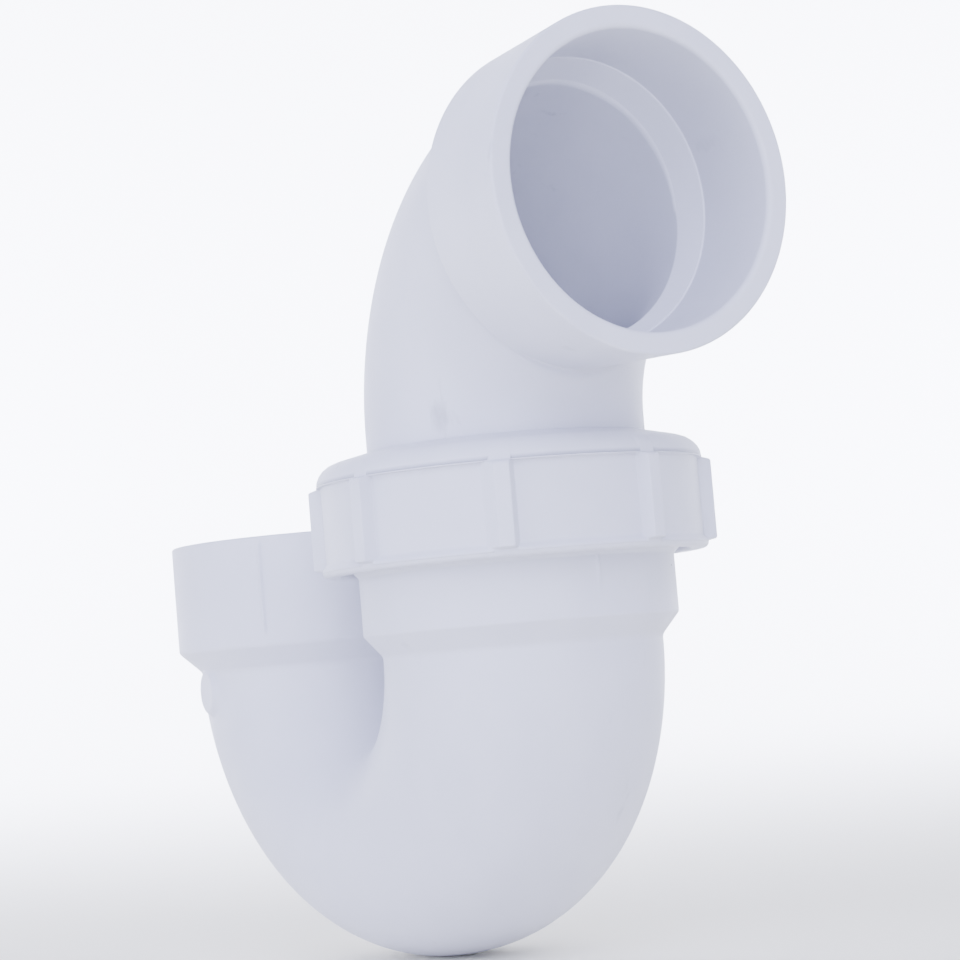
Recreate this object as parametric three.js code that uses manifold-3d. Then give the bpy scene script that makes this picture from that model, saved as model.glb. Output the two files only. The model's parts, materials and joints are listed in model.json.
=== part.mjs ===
// A drain P trap with a union, for 1-1/2 in solvent-weld pipe, in the order that it is put together:
// the U bend with its inlet hub and threaded neck, the rubber gasket, the end ring bonded on the
// elbow's spigot, the union nut, and the outlet elbow with its hub.
//
// Millimetres, +Z up. The origin is the centre of the inlet hub's rim, and the union's axis is
// parallel to Z at x = LEG_SPACING. The outlet points along +X, turned by REST_SWIVEL_DEGREES.

import * as THREE from 'three';
import { ParametricGeometry } from 'three/addons/geometries/ParametricGeometry.js';
import { mergeVertices } from 'three/addons/utils/BufferGeometryUtils.js';
import Module from 'manifold-3d';

const wasm = await Module();
wasm.setup();

// ---------------------------------------------------------------- driving dimensions

const FACETS = 40;                  // flat faces around every round surface
const MERGE_TOLERANCE = 1e-4;       // closer vertices than this are one vertex
const CLEARANCE = 0.3;              // gap between two pieces that touch
const OVERRUN = 1;                  // how far a cutter runs past the face it opens

// Tube: the wall that the bend and the elbow share.
const TUBE_RADIUS = 24.15;
const WATERWAY_RADIUS = 20.35;
const WALL = TUBE_RADIUS - WATERWAY_RADIUS;

// Socket of both hubs: a tapered seat for pipe of 48.26 mm outside diameter, a stop shoulder, and a
// throat that narrows towards the waterway.
const SOCKET_MOUTH_RADIUS = 24.28;
const SOCKET_SEAT_RADIUS = 24.05;
const SOCKET_DEPTH = 17.6;
const THROAT_MOUTH_RADIUS = 23.4;
const THROAT_END_RADIUS = 21.3;
const THROAT_DEPTH = 4.5;
const HUB_EDGE = 0.5;               // broken edge around a hub's rim

// U bend.
const LEG_SPACING = 66;             // inlet axis to union axis
const BEND_CENTRE_Z = -25.1;        // height at which both legs start to turn
const BEND_OUTER_DEPTH = 53.5;      // from there down to the bottom of the trap
const BEND_INNER_DEPTH = 12;        // from there down to the crotch between the legs
const LOWEST_POINT_SHIFT = 1.7;     // the lowest point lies this far from mid-span, towards the union
const UNION_SIDE_FULLNESS = 2;      // exponent of the bottom's curve: 2 is an ellipse
const INLET_SIDE_FULLNESS = 1.83;   // leaner than an ellipse
const BEND_STEPS = 20;

// Inlet hub, part of the bend.
const INLET_HUB_RADIUS = 28.35;
const INLET_HUB_HEIGHT = 20.2;
const INLET_HUB_CHAMFER = 4;

// Union collar and threaded neck, part of the bend.
const COLLAR_RADIUS = 27.25;
const COLLAR_BOTTOM_Z = -20.6;
const COLLAR_CHAMFER = 3.7;
const NECK_BORE_RADIUS = 24;
const NECK_BORE_FLOOR_Z = -19.5;
const NECK_BORE_TAPER = 4;
const NECK_FOOT_Z = -9.4;           // the collar steps out to the threaded neck here
const NECK_TOP_Z = 0.7;
const NECK_EDGE = 0.6;

// Thread of the union, right-handed.
const THREAD_PITCH = 3.175;         // 8 turns to the inch
const NECK_ROOT_RADIUS = 28.4;
const NUT_BORE_RADIUS = 30.1;
const THREAD_DEPTH = 1.4;
const THREAD_CREST_WIDTH = 0.8;
const THREAD_FLANK_SLOPE = 0.43;    // half the ridge's growth in width, per mm of depth
const THREAD_EMBED = 0.4;           // how deep a ridge is sunk in its own wall
const THREAD_RUN_OUT_TURNS = 0.1;   // a ridge fades away over this part of a turn at each end
const NECK_THREAD_START_Z = -8;
const NECK_THREAD_TURNS = 2.25;
const NUT_THREAD_START_TURN = 0.25;
const NUT_THREAD_START_Z = NECK_THREAD_START_Z + (NUT_THREAD_START_TURN - 0.5) * THREAD_PITCH;
const NUT_THREAD_TURNS = 2.4;

// Union nut.
const NUT_BOTTOM_Z = -10.1;
const NUT_LEDGE_Z = 5.3;
const NUT_TOP_Z = 10.6;
const NUT_WEB_Z = 6.6;              // underside of the web that presses on the end ring
const NUT_RIM_RADIUS = 33.4;
const NUT_RIM_HEIGHT = 1.3;
const NUT_RIM_EDGE = 0.8;
const NUT_PANEL_RADIUS = 32.9;
const NUT_LEDGE_RADIUS = 33.4;
const DOME_CORNER_RADIUS = 4;
const DOME_SLOPE_DEGREES = 13.5;
const DOME_ARC_STEPS = 5;
const RIB_COUNT = 8;
const RIB_PHASE_DEGREES = 8;        // the mould's two halves are drawn off along this rib's direction
const RIB_RADIUS = 34.9;
const RIB_FACE_WIDTH = 2.6;
const RIB_STEEP_SPREAD = 0.45;      // how much wider the foot is than the face, on one side
const RIB_DRAWN_SPREAD = 2.3;       // the same on a flank that the mould must leave at 45 degrees
const RIB_EMBED = 0.9;

// Outlet elbow.
const REST_SWIVEL_DEGREES = -4;
const ELBOW_BEND_START_Z = 13.65;
const ELBOW_BEND_RADIUS = 33.4;
const ELBOW_STEPS = 12;
const OUTLET_HUB_START = 26.5;      // back rim of the hub, from the union's axis
const OUTLET_HUB_LENGTH = 22.2;
const OUTLET_HUB_CHAMFER = 2;
const OUTLET_HUB_BACK_RADIUS = 27.1;
const OUTLET_HUB_FACE_RADIUS = 28.05;
const SPIGOT_RADIUS = 22.9;
const SPIGOT_END_Z = -6;
const SPIGOT_EDGE = 0.6;

// End ring and gasket, around the spigot.
const END_RING_RADIUS = 28.4;
const END_RING_EDGE = 0.4;
const GASKET_RADIUS = 28.2;
const GASKET_THICKNESS = 2;

const PVC_COLOUR = 0xd6d9e4;
const PVC_ROUGHNESS = 0.4;
const RUBBER_COLOUR = 0x26272b;
const RUBBER_ROUGHNESS = 0.8;

// ---------------------------------------------------------------- solids

const TURN = 2 * Math.PI;

function ringMiddle(ring) {
  const middle = new THREE.Vector3();
  ring.forEach((corner) => middle.add(corner));
  return middle.divideScalar(ring.length);
}

// A closed three.js surface as a solid that can be joined and cut.
function toSolid(geometry) {
  geometry.deleteAttribute('normal');
  geometry.deleteAttribute('uv');
  const merged = mergeVertices(geometry, MERGE_TOLERANCE);
  const index = merged.index.array;
  const triangles = [];
  for (let start = 0; start < index.length; start += 3) {
    const [a, b, c] = index.subarray(start, start + 3);
    if (a !== b && b !== c && c !== a) {
      triangles.push(a, b, c);
    }
  }
  return new wasm.Manifold(new wasm.Mesh({
    numProp: 3,
    vertProperties: merged.attributes.position.array,
    triVerts: new Uint32Array(triangles),
  }));
}

// A solid of revolution about Z. Its [radius, height] corners run upwards from the axis back to it.
function turnedSolid(corners, placement = new THREE.Matrix4()) {
  const profile = corners.map(([radius, height]) => new THREE.Vector2(radius, height));
  const geometry = new THREE.LatheGeometry(profile, FACETS);
  geometry.rotateX(Math.PI / 2);
  geometry.applyMatrix4(placement);
  return toSolid(geometry);
}

// A solid through cross-sections that follow one another, closed by a fan at each end.
// Seen against the direction of travel, every section's corners run anticlockwise.
function loftedSolid(sections) {
  const corners = sections[0].length;
  const rows = [[ringMiddle(sections[0])], ...sections, [ringMiddle(sections.at(-1))]];
  const surface = (around, along, target) => {
    const row = rows[Math.round(along * (rows.length - 1))];
    target.copy(row[Math.round(around * corners) % row.length]);
  };
  return toSolid(new ParametricGeometry(surface, corners, rows.length - 1));
}

// One cross-section: an ellipse about a centre, from two half axes.
function ellipse(centre, firstAxis, secondAxis) {
  return Array.from({ length: FACETS }, (_, facet) => {
    const angle = (TURN * facet) / FACETS;
    return centre.clone()
      .addScaledVector(firstAxis, Math.cos(angle))
      .addScaledVector(secondAxis, Math.sin(angle));
  });
}

// A helical ridge about an upright axis. It stands out from its wall when the crest is the larger radius.
function threadRidge(axisX, wallRadius, crestRadius, startZ, startTurn, turns) {
  const side = Math.sign(crestRadius - wallRadius);
  const baseRadius = wallRadius - side * THREAD_EMBED;
  const steps = Math.round(turns * FACETS);
  const sections = [];
  for (let step = 0; step <= steps; step += 1) {
    const turn = step / FACETS;
    const fromEnd = Math.min(turn, steps / FACETS - turn);
    const height = Math.min(1, fromEnd / THREAD_RUN_OUT_TURNS);
    const angle = TURN * (startTurn + turn);
    const z = startZ + THREAD_PITCH * turn;
    const crest = wallRadius + (crestRadius - wallRadius) * height;
    const crestHalf = 0.5 * THREAD_CREST_WIDTH;
    const baseHalf = crestHalf + THREAD_FLANK_SLOPE * (THREAD_DEPTH + THREAD_EMBED);
    const corners = [
      [baseRadius, z + side * baseHalf],
      [crest, z + side * crestHalf],
      [crest, z - side * crestHalf],
      [baseRadius, z - side * baseHalf],
    ];
    sections.push(corners.map(([radius, cornerZ]) => (
      new THREE.Vector3(axisX + radius * Math.cos(angle), radius * Math.sin(angle), cornerZ)
    )));
  }
  return loftedSolid(sections);
}

function cylinderBetween(radius, lowZ, highZ) {
  return turnedSolid([[0, lowZ], [radius, lowZ], [radius, highZ], [0, highZ]]);
}

function socketCutter(rimAlong, placement) {
  return turnedSolid([
    [0, rimAlong - SOCKET_DEPTH - THROAT_DEPTH],
    [THROAT_END_RADIUS, rimAlong - SOCKET_DEPTH - THROAT_DEPTH],
    [THROAT_MOUTH_RADIUS, rimAlong - SOCKET_DEPTH],
    [SOCKET_SEAT_RADIUS, rimAlong - SOCKET_DEPTH],
    [SOCKET_MOUTH_RADIUS, rimAlong],
    [SOCKET_MOUTH_RADIUS, rimAlong + OVERRUN],
    [0, rimAlong + OVERRUN],
  ], placement);
}

// ---------------------------------------------------------------- materials

function pvc() {
  return new THREE.MeshStandardMaterial({ color: PVC_COLOUR, roughness: PVC_ROUGHNESS, metalness: 0 });
}

function rubber() {
  return new THREE.MeshStandardMaterial({
    color: RUBBER_COLOUR,
    roughness: RUBBER_ROUGHNESS,
    metalness: 0,
  });
}

function namedMesh(name, solid, material) {
  const { vertProperties, triVerts } = solid.getMesh();
  const geometry = new THREE.BufferGeometry();
  geometry.setAttribute('position', new THREE.BufferAttribute(vertProperties, 3));
  geometry.setIndex(new THREE.BufferAttribute(triVerts, 1));
  geometry.computeVertexNormals();
  const mesh = new THREE.Mesh(geometry, material);
  mesh.name = name;
  return mesh;
}

// ---------------------------------------------------------------- U bend

// The bend's cross-section after a turn of sweep: 0 at the union leg, pi at the inlet leg.
function bendSection(sweep, inset) {
  const across = Math.cos(sweep);
  const down = Math.sin(sweep);
  const fullness = across > 0 ? UNION_SIDE_FULLNESS : INLET_SIDE_FULLNESS;
  const halfSpan = 0.5 * LEG_SPACING;
  const reach = halfSpan + TUBE_RADIUS - Math.sign(across) * LOWEST_POINT_SHIFT;
  const outer = new THREE.Vector3(
    halfSpan + LOWEST_POINT_SHIFT + Math.sign(across) * reach * Math.abs(across) ** (2 / fullness),
    0,
    BEND_CENTRE_Z - BEND_OUTER_DEPTH * Math.abs(down) ** (2 / fullness),
  );
  const inner = new THREE.Vector3(
    halfSpan + (halfSpan - TUBE_RADIUS) * across,
    0,
    BEND_CENTRE_Z - BEND_INNER_DEPTH * down,
  );
  const centre = outer.clone().add(inner).multiplyScalar(0.5);
  const outwards = outer.sub(inner).multiplyScalar(0.5);
  outwards.setLength(outwards.length() - inset);
  return ellipse(centre, outwards, new THREE.Vector3(0, inset - TUBE_RADIUS, 0));
}

// The tube of the bend with a straight stretch up each leg.
function bendTube(inset, unionLegTopZ, inletLegTopZ) {
  const raise = (section, topZ) => section.map((corner) => new THREE.Vector3(corner.x, corner.y, topZ));
  const sections = [];
  for (let step = 0; step <= BEND_STEPS; step += 1) {
    sections.push(bendSection((Math.PI * step) / BEND_STEPS, inset));
  }
  return loftedSolid([
    raise(sections[0], unionLegTopZ),
    ...sections,
    raise(sections.at(-1), inletLegTopZ),
  ]);
}

function inletHub() {
  return turnedSolid([
    [0, -INLET_HUB_HEIGHT - INLET_HUB_CHAMFER],
    [TUBE_RADIUS, -INLET_HUB_HEIGHT - INLET_HUB_CHAMFER],
    [INLET_HUB_RADIUS, -INLET_HUB_HEIGHT],
    [INLET_HUB_RADIUS, -HUB_EDGE],
    [INLET_HUB_RADIUS - HUB_EDGE, 0],
    [0, 0],
  ]);
}

// The smooth collar and the neck above it, about the union's axis.
function neck(atUnion) {
  return turnedSolid([
    [0, COLLAR_BOTTOM_Z - COLLAR_CHAMFER],
    [TUBE_RADIUS, COLLAR_BOTTOM_Z - COLLAR_CHAMFER],
    [COLLAR_RADIUS, COLLAR_BOTTOM_Z],
    [COLLAR_RADIUS, NECK_FOOT_Z - (NECK_ROOT_RADIUS - COLLAR_RADIUS)],
    [NECK_ROOT_RADIUS, NECK_FOOT_Z],
    [NECK_ROOT_RADIUS, NECK_TOP_Z - NECK_EDGE],
    [NECK_ROOT_RADIUS - NECK_EDGE, NECK_TOP_Z],
    [0, NECK_TOP_Z],
  ], atUnion);
}

function neckBoreCutter(atUnion) {
  return turnedSolid([
    [0, NECK_BORE_FLOOR_Z - NECK_BORE_TAPER],
    [WATERWAY_RADIUS, NECK_BORE_FLOOR_Z - NECK_BORE_TAPER],
    [NECK_BORE_RADIUS, NECK_BORE_FLOOR_Z],
    [NECK_BORE_RADIUS, NECK_TOP_Z + OVERRUN],
    [0, NECK_TOP_Z + OVERRUN],
  ], atUnion);
}

function makeTrapBend() {
  const atUnion = new THREE.Matrix4().makeTranslation(LEG_SPACING, 0, 0);
  const ridge = threadRidge(
    LEG_SPACING,
    NECK_ROOT_RADIUS,
    NECK_ROOT_RADIUS + THREAD_DEPTH,
    NECK_THREAD_START_Z,
    0,
    NECK_THREAD_TURNS,
  );
  const outside = bendTube(0, COLLAR_BOTTOM_Z, -INLET_HUB_HEIGHT)
    .add(inletHub())
    .add(neck(atUnion))
    .add(ridge);
  const inside = bendTube(WALL, NECK_BORE_FLOOR_Z, OVERRUN - SOCKET_DEPTH)
    .add(socketCutter(0))
    .add(neckBoreCutter(atUnion));
  return namedMesh('trap_bend', outside.subtract(inside), pvc());
}

// ---------------------------------------------------------------- union nut

// The nut's outline from its bottom edge to its top hole.
function nutOutline() {
  const slope = THREE.MathUtils.degToRad(DOME_SLOPE_DEGREES);
  const holeRadius = TUBE_RADIUS + CLEARANCE;
  const arcEnd = 0.5 * Math.PI - slope;
  const arcCentreRadius = NUT_LEDGE_RADIUS - DOME_CORNER_RADIUS;
  const arcEndRadius = arcCentreRadius + DOME_CORNER_RADIUS * Math.cos(arcEnd);
  const arcEndZ = NUT_TOP_Z - (arcEndRadius - holeRadius) * Math.tan(slope);
  const arcCentreZ = arcEndZ - DOME_CORNER_RADIUS * Math.sin(arcEnd);
  const outline = [
    [0, NUT_BOTTOM_Z],
    [NUT_RIM_RADIUS - NUT_RIM_EDGE, NUT_BOTTOM_Z],
    [NUT_RIM_RADIUS, NUT_BOTTOM_Z + NUT_RIM_EDGE],
    [NUT_PANEL_RADIUS, NUT_BOTTOM_Z + NUT_RIM_HEIGHT],
    [NUT_PANEL_RADIUS, NUT_LEDGE_Z],
    [NUT_LEDGE_RADIUS, NUT_LEDGE_Z],
  ];
  for (let step = 0; step <= DOME_ARC_STEPS; step += 1) {
    const angle = (arcEnd * step) / DOME_ARC_STEPS;
    outline.push([
      arcCentreRadius + DOME_CORNER_RADIUS * Math.cos(angle),
      arcCentreZ + DOME_CORNER_RADIUS * Math.sin(angle),
    ]);
  }
  outline.push([holeRadius, NUT_TOP_Z], [0, NUT_TOP_Z]);
  return outline;
}

// One upright grip rib, standing on the nut's panel. Ribs at 45 degrees to the mould's draw have one
// flank that leans with it, the one that looks towards the parting plane.
function rib(place) {
  const halfFace = 0.5 * RIB_FACE_WIDTH;
  const clockwiseSpread = place % 4 === 3 ? RIB_DRAWN_SPREAD : RIB_STEEP_SPREAD;
  const otherSpread = place % 4 === 1 ? RIB_DRAWN_SPREAD : RIB_STEEP_SPREAD;
  const section = new THREE.Shape([
    new THREE.Vector2(NUT_PANEL_RADIUS - RIB_EMBED, -halfFace - clockwiseSpread),
    new THREE.Vector2(NUT_PANEL_RADIUS, -halfFace - clockwiseSpread),
    new THREE.Vector2(RIB_RADIUS, -halfFace),
    new THREE.Vector2(RIB_RADIUS, halfFace),
    new THREE.Vector2(NUT_PANEL_RADIUS, halfFace + otherSpread),
    new THREE.Vector2(NUT_PANEL_RADIUS - RIB_EMBED, halfFace + otherSpread),
  ]);
  const footZ = NUT_BOTTOM_Z + NUT_RIM_HEIGHT;
  const geometry = new THREE.ExtrudeGeometry(section, {
    depth: NUT_LEDGE_Z - footZ,
    steps: 1,
    bevelEnabled: false,
  });
  geometry.translate(0, 0, footZ);
  geometry.rotateZ(THREE.MathUtils.degToRad(RIB_PHASE_DEGREES) + (TURN * place) / RIB_COUNT);
  return toSolid(geometry);
}

function makeUnionNut() {
  const hole = cylinderBetween(TUBE_RADIUS + CLEARANCE, NUT_WEB_Z - OVERRUN, NUT_TOP_Z + OVERRUN);
  const bore = cylinderBetween(NUT_BORE_RADIUS, NUT_BOTTOM_Z - OVERRUN, NUT_WEB_Z);
  let body = turnedSolid(nutOutline());
  for (let place = 0; place < RIB_COUNT; place += 1) {
    body = body.add(rib(place));
  }
  const ridge = threadRidge(
    0,
    NUT_BORE_RADIUS,
    NUT_BORE_RADIUS - THREAD_DEPTH,
    NUT_THREAD_START_Z,
    NUT_THREAD_START_TURN,
    NUT_THREAD_TURNS,
  );
  const nut = body.subtract(hole).subtract(bore).add(ridge);
  return namedMesh('union_nut', nut, pvc());
}

// ---------------------------------------------------------------- elbow, end ring and gasket

// The elbow's tube: straight up from its foot, then a quarter turn towards +X.
function elbowTube(radius, footZ) {
  const sections = [];
  for (let step = 0; step <= ELBOW_STEPS; step += 1) {
    const turned = (0.5 * Math.PI * step) / ELBOW_STEPS;
    const centre = new THREE.Vector3(
      ELBOW_BEND_RADIUS * (1 - Math.cos(turned)),
      0,
      ELBOW_BEND_START_Z + ELBOW_BEND_RADIUS * Math.sin(turned),
    );
    const inPlane = new THREE.Vector3(radius * Math.cos(turned), 0, -radius * Math.sin(turned));
    sections.push(ellipse(centre, inPlane, new THREE.Vector3(0, radius, 0)));
  }
  const foot = ellipse(
    new THREE.Vector3(0, 0, footZ),
    new THREE.Vector3(radius, 0, 0),
    new THREE.Vector3(0, radius, 0),
  );
  return loftedSolid([foot, ...sections]);
}

function outletHub(alongOutlet) {
  const faceAlong = OUTLET_HUB_START + OUTLET_HUB_LENGTH;
  return turnedSolid([
    [0, OUTLET_HUB_START - OUTLET_HUB_CHAMFER],
    [TUBE_RADIUS, OUTLET_HUB_START - OUTLET_HUB_CHAMFER],
    [OUTLET_HUB_BACK_RADIUS, OUTLET_HUB_START],
    [OUTLET_HUB_FACE_RADIUS, faceAlong - HUB_EDGE],
    [OUTLET_HUB_FACE_RADIUS - HUB_EDGE, faceAlong],
    [0, faceAlong],
  ], alongOutlet);
}

function spigot() {
  return turnedSolid([
    [0, SPIGOT_END_Z],
    [SPIGOT_RADIUS - SPIGOT_EDGE, SPIGOT_END_Z],
    [SPIGOT_RADIUS, SPIGOT_END_Z + SPIGOT_EDGE],
    [SPIGOT_RADIUS, NUT_WEB_Z + OVERRUN],
    [0, NUT_WEB_Z + OVERRUN],
  ]);
}

function makeOutletElbow() {
  const alongOutlet = new THREE.Matrix4()
    .makeTranslation(0, 0, ELBOW_BEND_START_Z + ELBOW_BEND_RADIUS)
    .multiply(new THREE.Matrix4().makeRotationY(Math.PI / 2));
  const outside = elbowTube(TUBE_RADIUS, NUT_WEB_Z)
    .add(outletHub(alongOutlet))
    .add(spigot());
  const inside = elbowTube(WATERWAY_RADIUS, SPIGOT_END_Z - OVERRUN)
    .add(socketCutter(OUTLET_HUB_START + OUTLET_HUB_LENGTH, alongOutlet));
  return namedMesh('outlet_elbow', outside.subtract(inside), pvc());
}

// The ring that turns the elbow's bare spigot into a flanged end, below the nut's web.
function makeEndRing() {
  const lowZ = NECK_TOP_Z + CLEARANCE + GASKET_THICKNESS + CLEARANCE;
  const highZ = NUT_WEB_Z - CLEARANCE;
  const ring = turnedSolid([
    [0, lowZ],
    [END_RING_RADIUS - END_RING_EDGE, lowZ],
    [END_RING_RADIUS, lowZ + END_RING_EDGE],
    [END_RING_RADIUS, highZ - END_RING_EDGE],
    [END_RING_RADIUS - END_RING_EDGE, highZ],
    [0, highZ],
  ]);
  const hole = cylinderBetween(SPIGOT_RADIUS + CLEARANCE, lowZ - OVERRUN, highZ + OVERRUN);
  return namedMesh('elbow_end_ring', ring.subtract(hole), pvc());
}

function makeGasket() {
  const lowZ = NECK_TOP_Z + CLEARANCE;
  const highZ = lowZ + GASKET_THICKNESS;
  const disc = cylinderBetween(GASKET_RADIUS, lowZ, highZ);
  const hole = cylinderBetween(SPIGOT_RADIUS + CLEARANCE, lowZ - OVERRUN, highZ + OVERRUN);
  return namedMesh('union_gasket', disc.subtract(hole), rubber());
}

// ---------------------------------------------------------------- assembly

const arm = new THREE.Group();
arm.rotation.z = THREE.MathUtils.degToRad(REST_SWIVEL_DEGREES);
arm.add(makeOutletElbow(), makeEndRing());

const union = new THREE.Group();
union.position.x = LEG_SPACING;
union.add(makeGasket(), makeUnionNut(), arm);

const trap = new THREE.Group();
trap.add(makeTrapBend(), union);

export default trap;
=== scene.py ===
import json
import math

import bpy
import numpy as np
from mathutils import Matrix, Vector


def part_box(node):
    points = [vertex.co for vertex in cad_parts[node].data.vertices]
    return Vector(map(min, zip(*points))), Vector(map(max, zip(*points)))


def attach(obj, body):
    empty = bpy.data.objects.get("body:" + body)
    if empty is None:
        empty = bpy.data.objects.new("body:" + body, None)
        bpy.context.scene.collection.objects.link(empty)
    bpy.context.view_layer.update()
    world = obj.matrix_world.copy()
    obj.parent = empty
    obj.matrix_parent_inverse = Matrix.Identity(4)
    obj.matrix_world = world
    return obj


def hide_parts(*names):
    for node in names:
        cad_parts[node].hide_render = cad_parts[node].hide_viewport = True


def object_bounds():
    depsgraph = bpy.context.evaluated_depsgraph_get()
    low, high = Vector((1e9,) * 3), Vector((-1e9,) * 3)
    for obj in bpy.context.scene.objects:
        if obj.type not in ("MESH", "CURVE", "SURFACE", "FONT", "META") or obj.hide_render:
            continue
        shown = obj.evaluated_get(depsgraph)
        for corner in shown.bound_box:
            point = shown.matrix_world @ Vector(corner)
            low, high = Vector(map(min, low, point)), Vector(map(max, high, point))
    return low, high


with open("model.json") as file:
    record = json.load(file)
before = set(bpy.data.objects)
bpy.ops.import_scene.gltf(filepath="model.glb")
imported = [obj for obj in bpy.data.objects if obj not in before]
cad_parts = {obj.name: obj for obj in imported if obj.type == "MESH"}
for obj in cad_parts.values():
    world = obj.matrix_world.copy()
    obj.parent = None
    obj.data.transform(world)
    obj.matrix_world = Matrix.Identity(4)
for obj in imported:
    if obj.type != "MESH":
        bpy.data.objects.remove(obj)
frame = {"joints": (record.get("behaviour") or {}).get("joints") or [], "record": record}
cad_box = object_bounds()

MM = 0.001

# ------------------------------------------------------------------ places taken from the frame

JOINTS = {joint["name"]: joint for joint in frame["joints"]}
MOUNTS = {mount["name"]: mount for mount in frame["record"]["mounts"]}
UNION_X = JOINTS["arm_swivel"]["pos_m"][0]
THREAD_PITCH = 2 * math.pi * frame["record"]["behaviour"]["couplings"][0]["ratio"]

BEND_LOW, BEND_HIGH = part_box("trap_bend")
NUT_LOW, NUT_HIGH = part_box("union_nut")
ARM_LOW, ARM_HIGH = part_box("outlet_elbow")
RING_LOW, RING_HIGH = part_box("elbow_end_ring")
GASKET_LOW, GASKET_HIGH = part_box("union_gasket")

OUTLET_AXIS = Vector(MOUNTS["outlet_rim"]["axis"])
OUTLET_POINT = Vector(MOUNTS["outlet_rim"]["pos_m"])
REST_SWIVEL = math.atan2(OUTLET_AXIS.y, OUTLET_AXIS.x)
OUTLET_FACE = (OUTLET_POINT.xy - Vector((UNION_X, 0))).length
OUTLET_HUB_RADIUS = 28.05 * MM
OUTLET_Z = ARM_HIGH.z - OUTLET_HUB_RADIUS

# ------------------------------------------------------------------ sizes of the mouldings

TUBE_RADIUS = 24.15 * MM
WATERWAY_RADIUS = 20.35 * MM
WALL = TUBE_RADIUS - WATERWAY_RADIUS
SOCKET_MOUTH_RADIUS = 24.28 * MM
SOCKET_SEAT_RADIUS = 24.05 * MM
SOCKET_DEPTH = 17.6 * MM
THROAT_MOUTH_RADIUS = 23.8 * MM
THROAT_END_RADIUS = 21.3 * MM
THROAT_DEPTH = 4.5 * MM
RIM_EDGE = 0.45 * MM
MOUTH_EDGE = 0.9 * MM

INLET_HUB_RADIUS = -BEND_LOW.x
INLET_HUB_HEIGHT = 20.2 * MM
INLET_HUB_CHAMFER = 4 * MM
BEND_CENTRE_Z = -25.1 * MM
BEND_OUTER_DEPTH = BEND_CENTRE_Z - BEND_LOW.z
BEND_INNER_DEPTH = 12 * MM
LOWEST_POINT_SHIFT = 1.7 * MM
UNION_SIDE_FULLNESS = 2
INLET_SIDE_FULLNESS = 1.83

COLLAR_RADIUS = 27.25 * MM
COLLAR_BOTTOM_Z = -20.6 * MM
COLLAR_CHAMFER = 3.7 * MM
NECK_BORE_RADIUS = 24 * MM
NECK_BORE_FLOOR_Z = -19.5 * MM
NECK_BORE_TAPER = 4 * MM
NECK_FOOT_Z = -9.4 * MM
NECK_TOP_Z = BEND_HIGH.z
NECK_ROOT_RADIUS = 28.4 * MM
THREAD_DEPTH = 1.4 * MM
THREAD_CREST_WIDTH = 0.8 * MM
THREAD_FLANK_SLOPE = 0.43
THREAD_RUN_OUT_TURNS = 0.1
NECK_THREAD_START_Z = -8 * MM
NECK_THREAD_TURNS = 2.25
NUT_THREAD_START_TURN = 0.25
NUT_THREAD_TURNS = 2.4

NUT_BORE_RADIUS = 30.1 * MM
NUT_WEB_Z = 6.6 * MM
NUT_LEDGE_Z = 5.3 * MM
NUT_HOLE_RADIUS = 24.45 * MM
NUT_RIM_RADIUS = 33.4 * MM
NUT_PANEL_RADIUS = 32.6 * MM
NUT_LEDGE_RADIUS = 33.4 * MM
DOME_CORNER_RADIUS = 4 * MM
RIB_DOME_CORNER_RADIUS = 3.6 * MM
DOME_SLOPE = math.radians(13.5)
RIB_RADIUS = 34.9 * MM
RIB_COUNT = 8
RIB_PHASE = math.radians(8)
RIB_FACE_HALF = 1.3 * MM
RIB_STEEP_SPREAD = 0.75 * MM
RIB_DRAWN_SPREAD = 2.3 * MM

ELBOW_BEND_RADIUS = 33.4 * MM
ELBOW_BEND_START_Z = OUTLET_Z - ELBOW_BEND_RADIUS
OUTLET_HUB_START = 26.5 * MM
OUTLET_HUB_BACK_RADIUS = 27.1 * MM
HUB_FILLET = 2.1 * MM
SPIGOT_RADIUS = 22.9 * MM

LINE_HEIGHT = 0.42 * MM
LINE_HALF_WIDTH = 0.4 * MM
HUB_LINE_TURN = math.radians(126.5)
HUB_LINE_Z = (-18.4 * MM, -0.6 * MM)
COLLAR_LINE_TURN = math.radians(6)
COLLAR_LINE_Z = (-15 * MM, -10 * MM)

# The gate's stub, a low round boss on the front of the inlet leg.
BOSS_CENTRE = (-4.61 * MM, -23.71 * MM, -27.9 * MM)
BOSS_OUTWARD = (-0.191, -0.982, 0)
BOSS_RADIUS = 3.6 * MM
BOSS_RISE = 0.72 * MM
BOSS_FOOT = 1.3 * MM
BOSS_REACH = 2.5 * MM

AROUND = 192                    # points round every ring
BEND_AROUND = 240               # the same on the trap bend, before closer ones are added
LINE_COLUMNS = 17
LINE_COLUMN_REACH = 1.2         # degrees each side of a mould line
BOSS_COLUMNS = (64, 91, 0.55)   # first, last and step, in degrees
COLUMN_GAP = 0.008              # radians kept clear beside the closer ones
GUARD = 0.12 * MM               # a support loop this near each fillet keeps flat faces flat
FILLET_STEPS = 5

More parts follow.
